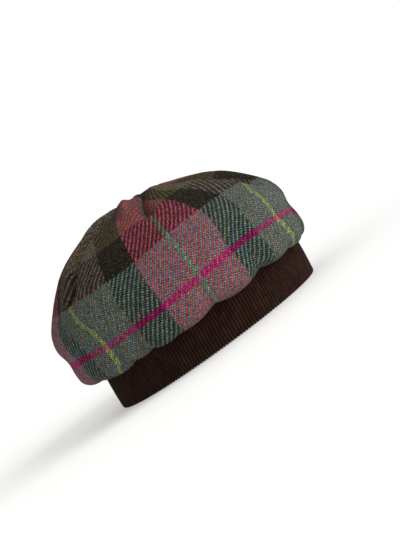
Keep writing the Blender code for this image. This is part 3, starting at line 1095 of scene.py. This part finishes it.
# the paper is slightly clouded and grained: waves of noise to a metre, darkest shade, height of the grain
CLOUD_WAVES, CLOUD_SHADE = 3.0, 0.985
GRAIN_WAVES, GRAIN_HEIGHT = 900.0, 0.05 * MM
# soft noise mostly lies between these
MOST_NOISE = (0.3, 0.7)


def paper_floor():
    half = FLOOR_SIZE / 2
    corners = [(-half, -half), (half, -half), (half, half), (-half, half)]
    mesh = bpy.data.meshes.new("floor")
    mesh.from_pydata([(x, y, -FLOOR_DROP) for x, y in corners], [], [(0, 1, 2, 3)])
    return add_object("floor", mesh)


def paper_material():
    material, tree, shader = new_material("pale_paper", roughness=0.95, sheen=0.0)
    where = new_node(tree, "TexCoord").outputs["Object"]
    cloud = between(tree, cloudy(tree, where, CLOUD_WAVES), *MOST_NOISE, CLOUD_SHADE, 1.0)
    colour = shaded(tree, linear("F6F6F5"), cloud)
    feed(tree, shader.inputs["Base Color"], colour)
    feed(tree, shader.inputs["Emission Color"], colour)
    shader.inputs["Emission Strength"].default_value = PAPER_GLOW
    bump(tree, shader, cloudy(tree, where, GRAIN_WAVES), GRAIN_HEIGHT)
    return material


floor = paper_floor()
floor.data.materials.append(paper_material())
print("floor", FLOOR_SIZE, "m wide")

# %% [markdown]
# The camera is long, as for a product picture. The hat's origin, the middle of the head opening, shows at
# one known place of the frame, and a millimetre there has a known size. Both fix where the camera stands.

# %% Camera
FRAME_WIDTH_PX, FRAME_HEIGHT_PX = 400, 533
ORIGIN_PX = (218.8, 338.8)
MM_PER_PX = 0.868
CAMERA_ELEVATION = 4.3
CAMERA_ROLL = 36.0
# metres to the hat, and metres to the last that is seen
CAMERA_DISTANCE = 1.8
CAMERA_REACH = 50.0
SENSOR_HEIGHT = 24.0


def make_camera():
    """The camera, rolled clockwise, and the directions right, up and back of its picture."""
    elevation, roll = math.radians(CAMERA_ELEVATION), math.radians(CAMERA_ROLL)
    back = Vector((0.0, -math.cos(elevation), math.sin(elevation)))
    level_right = Vector((1.0, 0.0, 0.0))
    level_up = back.cross(level_right)
    right = level_right * math.cos(roll) - level_up * math.sin(roll)
    up = level_right * math.sin(roll) + level_up * math.cos(roll)
    aside = (FRAME_WIDTH_PX / 2 - ORIGIN_PX[0]) * MM_PER_PX * MM
    below = (FRAME_HEIGHT_PX / 2 - ORIGIN_PX[1]) * MM_PER_PX * MM
    aim = right * aside - up * below
    data = bpy.data.cameras.new("camera")
    data.sensor_fit = "VERTICAL"
    data.sensor_height = SENSOR_HEIGHT
    data.lens = SENSOR_HEIGHT * CAMERA_DISTANCE / (FRAME_HEIGHT_PX * MM_PER_PX * MM)
    data.clip_end = CAMERA_REACH
    camera = add_object("camera", data)
    camera.matrix_world = Matrix.Translation(aim + back * CAMERA_DISTANCE) @ (
        Matrix((right, up, back)).transposed().to_4x4())
    bpy.context.scene.camera = camera
    return camera, right, up, back


camera, image_right, image_up, image_back = make_camera()
print(f"lens {camera.data.lens:.0f} mm, camera {camera.location.z:.2f} m above the floor")

# %% [markdown]
# ## Light
# The light is soft and comes from above in the picture, over the camera's right shoulder. A sun lamp with a
# wide angle gives that, and it lights the whole floor evenly, which a lamp near the hat would not. The sky
# fills the shadows. The camera sees it as plain white.

# %% Lamps
SUN_STRENGTH = 2.4
SUN_ANGLE = 50.0
# the way to the sun: shares of up, right and back in the picture
SUN_UP, SUN_RIGHT, SUN_BACK = 0.7, 0.45, 0.5
# the sky as a lamp, and as the camera sees it
SKY_STRENGTH = 0.55
SKY_SEEN = 1.1


def soft_sun(direction):
    data = bpy.data.lights.new("sun", "SUN")
    data.energy = SUN_STRENGTH
    data.angle = math.radians(SUN_ANGLE)
    lamp = add_object("sun", data)
    lamp.rotation_mode = "QUATERNION"
    lamp.rotation_quaternion = direction.to_track_quat("Z", "Y")


def white_sky():
    """A sky whose light differs from what the camera sees."""
    world = bpy.data.worlds.new("studio")
    world.use_nodes = True
    tree = world.node_tree
    seen = new_node(tree, "LightPath").outputs["Is Camera Ray"]
    strength = number(tree, "MULTIPLY_ADD", seen, SKY_SEEN - SKY_STRENGTH, SKY_STRENGTH)
    tree.nodes["Background"].inputs["Color"].default_value = (1.0, 1.0, 1.0, 1.0)
    feed(tree, tree.nodes["Background"].inputs["Strength"], strength)
    return world


soft_sun(image_up * SUN_UP + image_right * SUN_RIGHT + image_back * SUN_BACK)
bpy.context.scene.world = white_sky()
bpy.context.scene.view_settings.view_transform = "Standard"
print("sky", SKY_STRENGTH, "sun", SUN_STRENGTH)
